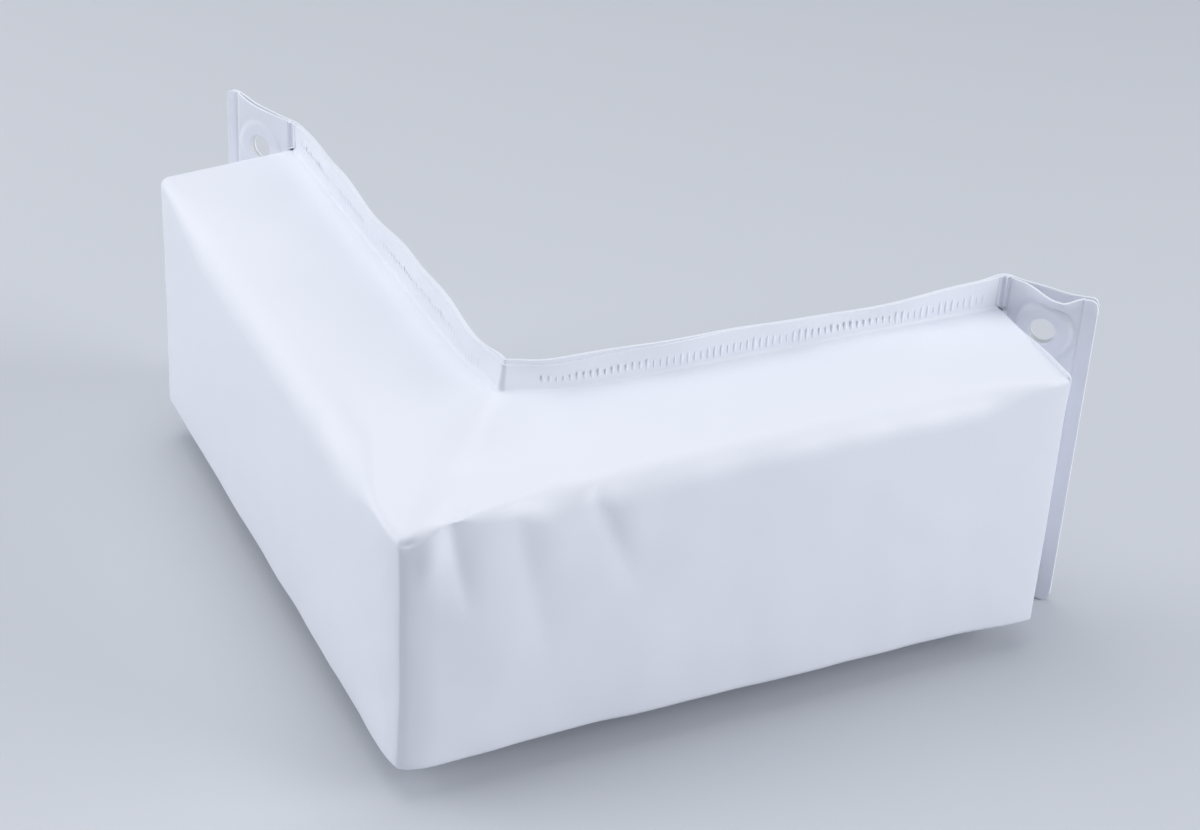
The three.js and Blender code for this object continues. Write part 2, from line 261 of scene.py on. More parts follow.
def rolls(arm, corner, end):
    """Radius of a long edge: small at the corner, soft along the arm and small again at the end."""
    open_up = ramp(reach, roll_opens_from, roll_open_at)
    draw_in = 1 - ramp(from_end, 2, roll_draw_in)
    return mix(mix(corner, arm, open_up), end, draw_in)


gathers = [
    # place along the right arm, width, change of the roll's radius
    (10, 6, 2.0),
    (18.5, 5, -2.5),
    (41.5, 8, -2.0),
    (54, 8, 1.0),
    (69, 8, -2.5),
    (81, 8, 1.5),
]
top_roll = rolls(arm_roll, corner_roll, end_roll)
top_roll = np.maximum(top_roll + hills(along_right, gathers), tightest_roll)
top_roll = np.minimum(top_roll, np.maximum(end_roll, from_end))
low_roll = rolls(low_arm_roll, low_corner_roll, low_end_roll)
print("top roll", round(float(top_roll.min()), 1), "to", round(float(top_roll.max()), 1), "mm")


# %% The section's lines
def straight(depth_from, height_from, depth_to, height_to, steps):
    share = (np.arange(steps) + 1) / steps
    return mix(depth_from, depth_to, share), mix(height_from, height_to, share)


def bend(depth, height, radius, turn_from, turn_to, steps):
    angle = np.radians(mix(turn_from, turn_to, (np.arange(steps) + 1) / steps))
    return depth + radius * np.cos(angle), height + radius * np.sin(angle)


def cover_section(depth, top_roll, low_roll):
    """Depth from the outer face, and height, of every point of the cover on an arm of that depth."""
    face = depth - 2 * vinyl - gap
    fold = fold_radius
    edge = pad_height - top_fall
    lines = [
        straight(face, -flange_height, face, -flange_height, 1),
        straight(face, -flange_height, face, -fold, 8),
        bend(face - fold, -fold, fold, 0, 90, 5),
        straight(face - fold, 0, low_roll, 0, 12),
        bend(low_roll, low_roll, low_roll, 270, 180, 9),
        straight(0, low_roll, 0, edge - top_roll, 32),
        bend(top_roll, edge - top_roll, top_roll, 180, 90, 12),
        straight(top_roll, edge, face - fold, pad_height, 18),
        bend(face - fold, pad_height + fold, fold, 270, 360, 5),
        straight(face, pad_height + fold, face, flange_top, 10),
    ]
    whole = [[np.broadcast_to(value, (stations, value.shape[-1])) for value in line] for line in lines]
    return (np.concatenate(part, axis=1) for part in zip(*whole))


in_left, height = cover_section(left_depth, top_roll, low_roll)
in_right, _ = cover_section(right_depth, top_roll, low_roll)
face_share = in_right / (right_depth - 2 * vinyl - gap)
print("cover grid", height.shape)

# %% The plain cover, before it is shaped
dock_bend = 0.4
left_seam, right_seam = 1.5, 0.8
flange_bend = dock_bend + 2 * vinyl + gap
round_share = np.clip(face_share[arm_cells], 0, 1)
bend_left = mix(outer_bend_left, flange_bend, round_share)
bend_right = mix(outer_bend_right, flange_bend, round_share)
seam_roll = mix(left_seam, right_seam, right_side)


def plain_sheet(in_left, in_right, height):
    plan = round_the_corner(in_left, in_right, bend_left, bend_right, round_share, seam_roll)
    return np.stack([*plan, height], axis=2)


plain_cover = plain_sheet(in_left, in_right, height)
print("plain cover", plain_cover.shape)

# %% [markdown]
# ## Slump, folds and waves
#
# The cover is loose where its top meets the outer corner: it slumps there, and the spare sheet lies in a
# few folds that run down the right face. The flange is thin and free along its upper edge, so it waves.
# In the corner against the dock the foam is pressed together, so the top wells up there.

# %% Where each point lies on the cover
# Most places below are given round the corner: minus is on the left arm and plus on the right.
around = plain_cover[..., 0] - plain_cover[..., 1]
# This share is 1 on the outer faces and falls to 0 behind them.
outside = 1 - ramp(np.minimum(plain_cover[..., 0], plain_cover[..., 1]), 6, 24)
upper_half = height > pad_height / 2
on_flange = np.where(upper_half, ramp(height, pad_height, flange_top), ramp(-height, 0, flange_height))
# And this one grows from 0 at the outer edge of the top to 1 at the flange.
top_share = np.clip(face_share, 0, 1) * upper_half
print("points on a flange", int((on_flange > 0).sum()), "of", on_flange.size)

# %% Slump of the outer corner
corner_slump = 9.0
left_reach, right_reach = 90.0, 170.0
steep_reach = 14.0


def slump(points):
    """Lowers the corner. The left arm rises evenly from it, the right arm fast at first and then slowly."""
    x, y = points[..., 0], points[..., 1]
    away = np.hypot(x, y)
    to_left = 1 - ramp(away, 0, left_reach)
    to_right = 0.5 * hill(away, 0, steep_reach) + 0.5 * (1 - ramp(away, 0, right_reach))
    near = mix(to_left, to_right, ramp(x - y, -0.3 * away, 0.5 * away + 1e-6))
    lower = points.copy()
    lower[..., 2] -= corner_slump * near * ramp(points[..., 2], 0, pad_height - top_fall)
    return lower


# %% Waves of the flange
flange_waves = [
    # place round the corner, width, rise
    (-234, 8, 3.0),
    (-206, 9, -1.0),
    (-147, 18, 2.2),
    (-88, 16, 1.0),
    (-45, 32, 3.2),
    (5, 13, 3.0),
    (32, 20, 0.7),
    (112, 20, -0.8),
    (148, 26, -2.8),
    (205, 6, 1.2),
    (231, 8, -1.0),
]


def flange_rise(place):
    """How far the free upper edge rises above its line."""
    return hills(place, flange_waves)


def flange_sway(place):
    """How far the free edge leans towards the dock."""
    return 0.5 * np.sin(place / 17) + 0.3 * np.sin(place / 7.3 + 1)


def corner_lean(place):
    """How far the free upper edge leans back over the dock's corner, where nothing holds it."""
    return 1.2 * hill(place, 7, 13)


# Cover and back panel share the waves, so the cover's places are moved to those of the panel behind it.
layers_apart = 2 * vinyl + gap
along_flange = around - layers_apart * np.clip(around / 10, -1, 1)
print("flange rises", round(float(flange_rise(along_flange).max()), 1), "mm at most")


# %% The folds by the corner
fold_head = 104
valleys = [
    # place at the head, lean, depth, width before and after, softness, heights where it ends and is full
    (18.7, 0.18, 2.5, 7, 7, 0.8, 56, 94),
    (41.5, 0.2, 1.6, 9, 9, 2.6, 8, 84),
    (68.8, 0.4, 1.9, 9, 7, 1.2, 50, 88),
]
puffs = [
    # place round the corner, width, height, reach up and down, rise
    (12, 5, 94, 8, 1.3),
    (55, 9, 88, 12, 0.7),
    (83, 9, 86, 12, 1.0),
]
dimple_below_edge = 3.2
slack_depth = 0.55
broad_waves, fine_waves = 0.022, 0.06  # of the slack, for each millimetre


def folds():
    """Each fold is a valley that leans to the right as it runs down, and fades out on the way."""
    depth = 0
    for place, lean, deep, before, after, softness, ends, full in valleys:
        across = around - (place + (fold_head - height) * lean)
        depth = depth + deep * crease(across, before, after, softness) * ramp(height, ends, full)
    depth += hill(around, 2.0, 3.5) * hill(height, pad_height - top_fall - dimple_below_edge, 1.5)
    puffed = sum(rise * hill(around, place, width) * hill(height, level, tall)
                 for place, width, level, tall, rise in puffs)
    return (puffed - depth * (1 - ramp(height, pad_height - 8, pad_height + 1))) * outside


def slack():
    """Faint unevenness of a sheet over soft foam."""
    flat = plain_cover.reshape(-1, 3)
    rough = [noise.noise(Vector(point * broad_waves)) + 0.5 * noise.noise(Vector(point * fine_waves))
             for point in flat]
    return slack_depth * np.reshape(rough, around.shape) * (1 - on_flange)


# %% The corner against the dock
wells = [(5, 20, 5.2), (35, 45, 1.8)]  # place round the corner, width, rise
puckers = [(-9, 0.9, 0.5), (-5, 0.9, 0.5), (-2, 0.9, 0.5)]  # place round the corner, width, depth


def inner_bulge():
    """The top wells up by the dock's corner, over the flange's foot, and puckers along the weld."""
    on_top = ramp(top_share, 0.4, 1.0) * (on_flange <= 0)
    on_foot = (on_flange > 0) * (1 - np.clip((height - pad_height) / flange_height, 0, 1))
    along_foot = hill(top_share, 0.99, 0.04)
    return hills(around, wells) * (on_top + on_foot) - hills(around, puckers) * on_top * along_foot


# %% [markdown]
# ## The foam presses the cover out
#
# Foam pushes every free panel outwards, so the top and the outer faces are slightly crowned. How far each
# point swells is left to a cloth simulation. A coarse copy of the cover is held at the flanges and at
# both ends, and light pressure from inside stands in for the foam. Cloth under pressure would swell like
# a balloon and foam doesn't, so we keep only the form of the swelling and scale it to the crown that the
# real pad has.

# %% Cloth simulation of the crown
crown = 1.8
coarse = 2


def swelling(points, held, frames=20, pressure=4.0):
    """How far each point of a grid moves outwards under pressure, as a share of the furthest move."""
    trial = new_piece("pressed_cloth", points, grid_faces(*points.shape[:2]))
    group = trial.vertex_groups.new(name="held")
    group.add(np.flatnonzero(held.ravel()).tolist(), 1.0, "REPLACE")
    cloth = add_modifier(trial, "CLOTH")
    cloth.settings.vertex_group_mass = "held"
    cloth.settings.use_pressure = True
    cloth.settings.uniform_pressure_force = pressure
    cloth.settings.effector_weights.gravity = 0
    cloth.point_cache.frame_end = frames
    for moment in range(1, frames + 1):
        bpy.context.scene.frame_set(moment)
    finish_mesh(trial)
    after = np.array([from_corner(vertex.co) for vertex in trial.data.vertices]).reshape(points.shape)
    bpy.data.objects.remove(trial)
    bpy.context.scene.frame_set(1)
    outwards = ((after - points) * grid_normals(points)).sum(axis=2)
    print("cloth swells by", round(float(outwards.max()), 1), "mm before it is scaled")
    return outwards / np.abs(outwards).max()


def refine(values, rows, columns):
    """Spreads values of the coarse grid over all rows and columns."""
    all_rows, all_columns = (np.arange(count) for count in around.shape)
    tall = np.stack([np.interp(all_rows, rows, column) for column in values.T], axis=1)
    return np.stack([np.interp(all_columns, columns, row) for row in tall])


# Both flanges, the strip of the top beside them and both ends stay where they are.
held = (on_flange > 0) | (face_share > 0.97) | (from_end < 1)
rows = np.unique(np.append(np.arange(0, around.shape[0], coarse), around.shape[0] - 1))
columns = np.unique(np.append(np.arange(0, around.shape[1], coarse), around.shape[1] - 1))
chosen = np.ix_(rows, columns)
swell = refine(swelling(slump(plain_cover)[chosen], held[chosen]), rows, columns)

# %% Shape the cover
flange_press = 0.5
skin = slump(plain_cover)
skin = push(skin, crown * swell + folds() + slack())
skin[..., 2] += upper_half * (on_flange * flange_rise(along_flange) + inner_bulge())
skin = push(skin, -on_flange * ramp(from_end, 0, 12) * (flange_sway(along_flange) + flange_press))
skin[..., :2] += (upper_half * on_flange * corner_lean(along_flange))[..., None]


def seam_rows(row, normals, along, radius):
    """Rows that roll the cover's end over into the seam, except on the flange."""
    angle = np.radians([20, 40, 60, 80])[:, None, None]
    radius = radius * (on_flange[0] <= 0)[None, :, None]
    return row + radius * (np.sin(angle) * along - (1 - np.cos(angle)) * normals)


normals = grid_normals(skin)
left_rows = seam_rows(skin[0], normals[0], np.array([0, 1, 0]), left_seam)
right_rows = seam_rows(skin[-1], normals[-1], np.array([1, 0, 0]), right_seam)
cover = np.concatenate([left_rows[::-1], skin, right_rows])
front_cover = new_piece("vinyl_front_cover", cover, grid_faces(*cover.shape[:2]))
merge_doubles(front_cover)
thicken(front_cover)

# %% [markdown]
# ## The foam core
#
# The core is a block of closed-cell foam, cut a little smaller than the cover. It goes through the same
# steps as the cover, from a section with rounder edges, and ends inside it by the sheet's thickness and
# the room left round the core. The back and both ends are flat. Nobody sees it, but the mesh is a real
# closed block, as it would be on a bench.

# %% Foam core
core_room = 0.5
inset = vinyl + core_room
# The core follows the cover's columns from the start of the underside to just before the upper fold.
first_column, last_column = 14, 93
least_top_roll, least_low_roll = 7, 4
core_rolls = np.maximum(top_roll, least_top_roll), np.maximum(low_roll, least_low_roll)
core_left, core_height = cover_section(left_depth, *core_rolls)
core_right, _ = cover_section(right_depth, *core_rolls)
foam_skin = slump(plain_sheet(core_left, core_right, core_height))
foam_skin = push(foam_skin, crown * swell + np.minimum(folds(), 0) + slack() - inset)
foam_skin = foam_skin[:, first_column:last_column]


def back_column(level):
    """A line along the back of the core, next to the back panel."""
    deep = [np.full((stations, 1), depth - inset) for depth in (left_depth, right_depth)]
    x, y = round_the_corner(*deep, dock_bend + inset, dock_bend + inset, 1.0, seam_roll)
    return np.stack([x, y, np.full_like(x, level)], axis=2)


core = np.concatenate([back_column(inset), foam_skin, back_column(pad_height - inset)], axis=1)
around_core = core.shape[1]
core = np.concatenate([core, core[:, :1]], axis=1)
core_faces = grid_faces(*core.shape[:2]).tolist()
core_faces.append(list(range(around_core))[::-1])
last_ring = (stations - 1) * (around_core + 1)
core_faces.append([last_ring + column for column in range(around_core)])
foam_core = new_piece("foam_core_block", core, core_faces)
merge_doubles(foam_core)
finish_mesh(foam_core)

# %% [markdown]
# ## Tabs
#
# Beyond each arm, back panel and end panel run on together as a tab that leans forward from the line of
# the arm. Both tabs are drawn in the right arm's own terms: distance along the arm, depth from the outer
# face, and height. Trading the first two gives the left arm, and reversing the rows keeps the faces
# turned outwards.

# %% Tab frames, read from the mounts on their dock side
hole_from_crease = 17.5
panel_high = from_corner(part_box("back_panel")[1])


def tab_frame(mount, end, swapped):
    place = from_corner(mount["pos_m"])[:2]
    facing = np.array(mount["axis"][:2])
    if swapped:
        place, facing = place[::-1], facing[::-1]
    along = np.array([facing[1], -facing[0]])
    start = place - hole_from_crease * along
    return {
        "crease": start,
        "along": along,
        "forward": -facing,
        "mitre": np.array([-math.tan(math.atan2(facing[0], facing[1]) / 2), -1]),
        "length": (end - start[0]) / along[0],
        "hole": place,
        "swapped": swapped,
    }


right_tab = tab_frame(mounts["right_tab_face"], panel_high[0], False)
left_tab = tab_frame(mounts["left_tab_face"], panel_high[1], True)
hole_heights = [from_corner(sum(np.array(corner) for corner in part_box(f"right_{level}_washer")) / 2)[2]
                for level in ("lower", "upper")]
print("tab length", round(right_tab["length"], 1), "holes at", np.round(hole_heights, 1))


def on_arm(tab, points):
    """Right arm's terms to plan places, for a grid whose rows run away from the corner."""
    if not tab["swapped"]:
        return points
    return points[::-1][..., [1, 0, 2]]


# %% Heights of the rows, close together where the holes and the free edges are
edge_zone = 16
sheet_heights = np.concatenate([
    np.linspace(-flange_height, edge_zone, 29),
    np.linspace(edge_zone, pad_height - edge_zone, 16)[1:],
    np.linspace(pad_height - edge_zone, flange_top, 29)[1:],
])
free_corner = 3.0
print("rows", len(sheet_heights))


def raise_edges(levels, place, from_free_end, dip=0.0):
    """Moves the rows near both free edges: a tab's rounded corners, a dip, and the upper edge's waves."""
    reached = np.clip(free_corner - from_free_end, 0, free_corner)
    drawn_in = free_corner - np.sqrt(free_corner**2 - reached**2) + dip
    upper = ramp(levels, pad_height, flange_top)
    lower = ramp(-levels, 0, flange_height)
    return levels + upper * (flange_rise(place) - drawn_in) + lower * drawn_in


# %% [markdown]
# ## Punched holes
#
# A punch leaves a clean round edge. On a grid of small faces we take out the faces inside the circle and
# draw the edge that is left onto the circle, before the sheet gets its thickness.

# %% Punch
hole_radius = 5.0


def punch(piece, tab, radius=hole_radius):
    """Punches both screw holes of a tab."""
    shape = bmesh.new()
    shape.from_mesh(piece.data)
    side = -1 if tab["swapped"] else 1
    hole, along = tab["hole"][::side], tab["along"][::side]
    for level in hole_heights:
        centre = np.array([*hole, level])

        def offset(point):
            local = from_corner(point) - centre
            return local[:2] @ along, local[2]

        near = [v for v in shape.verts if abs((from_corner(v.co) - centre)[:2] @ along) < 2 * radius
                and math.dist(from_corner(v.co), centre) < 3 * radius]
        faces = {face for vertex in near for face in vertex.link_faces}
        inside = [face for face in faces if math.hypot(*offset(face.calc_center_median())) < radius]
        bmesh.ops.delete(shape, geom=inside, context="FACES")
        for vertex in [v for v in near if v.is_valid and v.is_boundary]:
            run, rise = offset(vertex.co)
            distance = math.hypot(run, rise)
            if distance > 1.6 * radius:
                continue  # it lies on the sheet's own edge
            shift = (radius / distance - 1) * MM
            vertex.co += Vector([*(run * along * shift), rise * shift])
    shape.to_mesh(piece.data)
    shape.free()


# %% [markdown]
# ## Back panel
#
# One plain sheet lies against the dock, from the free end of one tab to the free end of the other. It is
# also the rear layer of both flanges. A grid along its plan line and up its height gives it the waves of
# its free edges.

# %% Plan line of a sheet against the dock
arm_rows, tab_rows = 96, 39


def arm_line(tab, arm_depth, start, offset):
    """Plan line of a sheet on one arm, from its bend to the free end of its tab."""
    crease_place = tab["crease"] + tab["mitre"] * offset
    free_end = tab["crease"] + tab["along"] * tab["length"] + tab["forward"] * offset
    arm = mix(np.array([start, arm_depth - offset]), crease_place, np.linspace(0, 1, arm_rows)[:, None])
    return np.concatenate([arm, mix(crease_place, free_end, np.linspace(0, 1, tab_rows + 1)[1:, None])])


def soften(line, rounds=3):
    """Rounds the sharp turn of a plan line a little, as a sheet does."""
    for _ in range(rounds):
        line[1:-1] = (line[:-2] + 2 * line[1:-1] + line[2:]) / 4
    return line


bend_centre = np.array([left_depth, right_depth]) + dock_bend
turn = np.radians(np.linspace(180, 270, 14)[1:-1, None])
bend_line = bend_centre + (dock_bend + vinyl) * np.concatenate([np.cos(turn), np.sin(turn)], axis=1)
left_line = arm_line(left_tab, left_depth, bend_centre[1], vinyl)[::-1, ::-1]
right_line = arm_line(right_tab, right_depth, bend_centre[0], vinyl)
panel_line = soften(np.concatenate([left_line, bend_line, right_line]))
steps = np.linalg.norm(np.diff(panel_line, axis=0), axis=1)
run = np.concatenate([[0], np.cumsum(steps)])
print("plan line runs", round(float(run[-1])), "mm over", len(run), "rows")

# %% Back panel
# Places round the corner are measured from the nearer crease, and the two measures blend in the bend.
half_blend = 10
middle = run[len(left_line) + len(bend_line) // 2]
from_left = run - run[tab_rows] - (left_tab["crease"][0] - left_depth)
from_right = run - run[-tab_rows - 1] + (right_tab["crease"][0] - right_depth)
panel_place = mix(from_left, from_right, ramp(run, middle - half_blend, middle + half_blend))[:, None]
to_free_end = np.minimum(run, run[-1] - run)[:, None]
panel_levels = raise_edges(sheet_heights[None, :], panel_place, to_free_end)
panel = np.empty((*panel_levels.shape, 3))
panel[..., :2] = panel_line[:, None]
panel[..., 2] = panel_levels
free_share = ramp(np.abs(sheet_heights - pad_height / 2), pad_height / 2, flange_top - pad_height / 2)
between_tabs = ramp(to_free_end, right_tab["length"] - 2, right_tab["length"] + 12)
panel = push(panel, -free_share * between_tabs * flange_sway(panel_place))
panel[..., :2] += (free_share * (sheet_heights > pad_height / 2) * corner_lean(panel_place))[..., None]
back_panel = new_piece("vinyl_back_panel", panel, grid_faces(*panel.shape[:2]))
for tab in (right_tab, left_tab):
    punch(back_panel, tab)
thicken(back_panel)

# %% [markdown]
# ## End panels
#
# An end panel closes the pad's end, folds back at the crease and is the front layer of the tab. Its rim
# is welded to the cover from the inside, which leaves a thin raised lip. Along the tab the sheet is held
# at the crease and at the welded strip of the free end, and lies over a washer between. Its top and
# bottom edges are not welded, so there it stands open like the mouth of a pocket.

# %% The front layer of a tab
weld_strip = 5.5
washer_radius = 10.3
fold_end = 3.4


def tab_front(tab, mouth, droop, mouth_start, washer_bulge):
    """Grid of the visible side of a tab, from the fold at the crease to its free end."""
    levels = sheet_heights[None, :]
    beside_flange = np.maximum(ramp(levels, pad_height, pad_height + 1), ramp(-levels, 0, 1))
    start = mix(-0.6, -fold_end, beside_flange)
    near = mix(start, fold_end, np.linspace(0, 1, 20)[:, None])
    weld = tab["length"] - weld_strip
    far = np.concatenate([np.linspace(fold_end, weld - 2, 36), np.linspace(weld - 2, weld + 2, 17)[1:],
                          np.linspace(weld + 2, tab["length"], 6)[1:]])
    distance = np.concatenate([near, far[1:, None] + 0 * levels])
    sag = np.sin(np.pi * np.clip(distance / weld, 0, 1))
    # The unwelded edges open between the crease and the weld, which holds them nearly shut.
    gape = ramp(distance, mouth_start, mouth_start + 14) * (1 - 0.8 * ramp(distance, weld - 7, weld))
    from_edge = np.minimum(flange_top - levels, levels + flange_height)
    opening = mouth * (1 - ramp(from_edge, 0, 9)) ** 1.5 * gape
    # A washer shows through the sheet as a round step, with a faint groove round it.
    ring = 0
    for level in hole_heights:
        radius = np.hypot(distance - hole_from_crease, levels - level)
        ring = ring + 1 - ramp(radius, washer_radius - 0.5, washer_radius + 0.8)
        ring = ring - 0.3 * hill(radius, washer_radius + 1.6, 0.8)
    offset = layers_apart + washer_bulge * ring + 0.3 * sag * (1 - ring) + opening
    # The sheet stands up in a ridge where it folds. The bar leaves a groove with a flatter strip beyond it.
    offset = offset + 0.3 * hill(distance, -2.6, 0.7) + 2.0 * hill(distance, 0.1, 0.9)
    offset = offset - 0.3 * hill(distance, 2.2, 0.8)
    offset = offset - 0.7 * crease(distance - weld, 0.45, 0.45, 0.2) - 0.25 * ramp(distance, weld, weld + 0.8)
    ahead = np.maximum(distance, 0)[..., None]
    behind = np.minimum(distance, 0)[..., None]
    base = tab["crease"] + ahead * tab["along"] + behind * np.array([1, 0])
    folded = ramp(distance, -0.5, 3)[..., None]
    direction = mix(np.array([0, -1]), tab["forward"], folded)
    grid = np.empty((*distance.shape, 3))
    grid[..., :2] = base + offset[..., None] * direction
    place = tab["crease"][0] - right_depth + distance
    if tab["swapped"]:
        place = left_depth - tab["crease"][0] - distance
    grid[..., 2] = raise_edges(levels, place, tab["length"] - distance, droop * gape)
    return grid


# %% The end plate
plate_bulge = 1.2
plate_inset = 0.35


def end_plate(arm_length, arm_depth, low_corner, high_corner, lip):
    """Grid of the pad's end, seen from outside: rows run back from the outer face."""
    back = arm_depth - vinyl - gap
    share = np.linspace(0, 1, 48)[:, None]
    depth = mix(plate_inset, back, share**1.8)
    raised = mix(-plate_inset, lip, 1 - ramp(depth, back * 0.3, back * 0.75))
    top = mix(pad_height - top_fall, pad_height, np.clip(depth / back, 0, 1)) + raised
    bottom = np.full_like(depth, plate_inset)

    def corner(radius):
        reached = np.clip(radius - (depth - plate_inset), 0, radius)
        return radius - np.sqrt(radius**2 - reached**2)

    level_share = np.linspace(0, 1, 60)[None, :]
    level = mix(bottom + corner(low_corner), top - corner(high_corner), level_share)
    bulge = plate_bulge * np.sin(np.pi * share) ** 0.6 * np.sin(np.pi * level_share) ** 0.6
    along = arm_length - 0.2 + bulge + 0 * level
    return np.stack([along, depth + 0 * level, level], axis=2)


# %% The raised lip along the top of the right end
def bead(path, radius, around_steps=10):
    """A round bead along a path in the plane of the pad's end, with closed ends."""
    heading = np.gradient(path, axis=0)
    heading /= np.linalg.norm(heading, axis=1, keepdims=True)
    outward = np.array([1.0, 0, 0])
    sideways = np.cross(heading, outward)
    angle = np.linspace(0, 2 * np.pi, around_steps, endpoint=False)
    spokes = np.cos(angle)[None, :, None] * outward + np.sin(angle)[None, :, None] * sideways[:, None]
    return path[:, None] + radius[:, None, None] * spokes


def lip_bead(name, tab, plate, arm_depth):
    """The lip follows the plate's top and turns down at the outer face, and thins out at both its ends."""
    path = np.concatenate([plate[::-1, -1], plate[0, ::-1][1:8]])
    thick = mix(0.2, 0.5, 1 - ramp(path[:, 1], arm_depth * 0.3, arm_depth * 0.75))
    thick *= mix(0.4, 1, ramp(path[:, 2], pad_height - top_fall - 12, pad_height - top_fall - 2))
    ring = bead(path, thick)
    ring = np.concatenate([ring, ring[:, :1]], axis=1)
    rows, columns = ring.shape[:2]
    caps = [list(range(columns - 1)), [(rows - 1) * columns + k for k in range(columns - 1)][::-1]]
    lip = new_piece(name, on_arm(tab, ring), grid_faces(rows, columns)[:, ::-1].tolist() + caps)
    merge_doubles(lip)
    finish_mesh(lip)
    return lip


# %% Put an end panel together
def join_pieces(first, *others):
    bpy.ops.object.select_all(action="DESELECT")
    for piece in (first, *others):
        piece.select_set(True)
    bpy.context.view_layer.objects.active = first
    bpy.ops.object.join()
    return first


def end_panel(name, tab, arm_length, arm_depth, front_shape, low_corner, high_corner, lip):
    """Tab front, end plate and, where the seam stands up, its lip, as one piece."""
    front_grid = tab_front(tab, **front_shape)
    front = new_piece(name, on_arm(tab, front_grid), grid_faces(*front_grid.shape[:2]))
    punch(front, tab)
    thicken(front)
    plate_grid = end_plate(arm_length, arm_depth, low_corner, high_corner, lip)
    plate = new_piece(name + "_plate", on_arm(tab, plate_grid), grid_faces(*plate_grid.shape[:2]))
    thicken(plate)
    if lip <= 0:
        return join_pieces(front, plate)
    return join_pieces(front, plate, lip_bead(name + "_lip", tab, plate_grid, arm_depth))


# %% Make both end panels
right_front = {"mouth": 3.2, "droop": 2.4, "mouth_start": 7.0, "washer_bulge": 1.4}
left_front = {"mouth": 0.2, "droop": 0.1, "mouth_start": 3.0, "washer_bulge": 0.6}
right_panel = end_panel("vinyl_right_end", right_tab, right_length, right_depth, right_front,
                        low_corner=1.4, high_corner=1.4, lip=0.8)
left_panel = end_panel("vinyl_left_end", left_tab, left_length, left_depth, left_front,
                       low_corner=5.6, high_corner=3.1, lip=-plate_inset)

# %% [markdown]
# ## Weld ribs
#
# Cover and back panel are welded to each other between two heated bars, and the upper bar has teeth. They
# leave a row of small upright ribs along the flange of each arm, two or three millimetres apart. A rib
# that repeats along a path is a task for Geometry Nodes: the tree cuts the path into even steps and
# stands a small ridge on each. No two are quite alike, since the bar never presses evenly: a random
# number varies their size, and an attribute of the path says how far each stands out.

# %% A node tree that stands ribs along a path
def add_node(tree, kind, links=(), **settings):
    """Adds one node. Settings name its properties or inputs, and links are pairs of input and source."""
    node = tree.nodes.new(kind)
    for name, value in settings.items():
        if hasattr(node, name):
            setattr(node, name, value)
        else:
            node.inputs[name.replace("_", " ")].default_value = value
    for place, source in links:
        tree.links.new(source, node.inputs[place])
    return node


def rib_tree(material):
    tree = bpy.data.node_groups.new("weld ribs", "GeometryNodeTree")
    tree.interface.new_socket("Path", in_out="INPUT", socket_type="NodeSocketGeometry")
    for name in ("Pitch", "Width", "Proud", "Height"):
        tree.interface.new_socket(name, in_out="INPUT", socket_type="NodeSocketFloat")
    tree.interface.new_socket("Ribs", in_out="OUTPUT", socket_type="NodeSocketGeometry")
    given = tree.nodes.new("NodeGroupInput").outputs
    curve = add_node(tree, "GeometryNodeMeshToCurve", [("Mesh", given["Path"])])
    steps = add_node(tree, "GeometryNodeResampleCurve", [
        ("Curve", curve.outputs[0]), ("Length", given["Pitch"]),
    ], mode="LENGTH")
    heading = add_node(tree, "GeometryNodeInputTangent")
    turn = add_node(tree, "FunctionNodeAlignRotationToVector", [("Vector", heading.outputs[0])],
                    axis="X", pivot_axis="Z")
    ball = add_node(tree, "GeometryNodeMeshUVSphere", Segments=8, Rings=6, Radius=0.5)
    size = add_node(tree, "ShaderNodeCombineXYZ", [
        ("X", given["Width"]), ("Y", given["Proud"]), ("Z", given["Height"]),
    ])
    ridge = add_node(tree, "GeometryNodeTransform", [
        ("Geometry", ball.outputs[0]), ("Scale", size.outputs[0]),
    ])
    vary = add_node(tree, "FunctionNodeRandomValue", data_type="FLOAT", Seed=4)
    vary.inputs[2].default_value, vary.inputs[3].default_value = 0.55, 1.15
    pressed = add_node(tree, "GeometryNodeInputNamedAttribute", data_type="FLOAT", Name="pressed")
    each = add_node(tree, "ShaderNodeCombineXYZ", [
        ("X", vary.outputs[1]), ("Y", pressed.outputs[0]), ("Z", vary.outputs[1]),
    ])
    stand = add_node(tree, "GeometryNodeInstanceOnPoints", [
        ("Points", steps.outputs[0]), ("Instance", ridge.outputs[0]),
        ("Rotation", turn.outputs[0]), ("Scale", each.outputs[0]),
    ])
    whole = add_node(tree, "GeometryNodeRealizeInstances", [("Geometry", stand.outputs[0])])
    dressed = add_node(tree, "GeometryNodeSetMaterial", [("Geometry", whole.outputs[0])], Material=material)
    add_node(tree, "NodeGroupOutput", [("Ribs", dressed.outputs[0])])
    return tree


# %% Stand the ribs on both flanges
rib_pitch, rib_width, rib_proud, rib_height = 2.6, 1.4, 0.24, 5.2
rib_above_pad = 4.7
# The welding bar is straight, so its teeth stop short of the corner on both arms.
last_on_left, first_on_right = -12, 22


def flange_path(level):
    """The cover's surface at one height of the flange, from arm to arm."""
    column = np.argmin(np.abs(height[arm_cells] - level))
    return skin[3:-3, column]


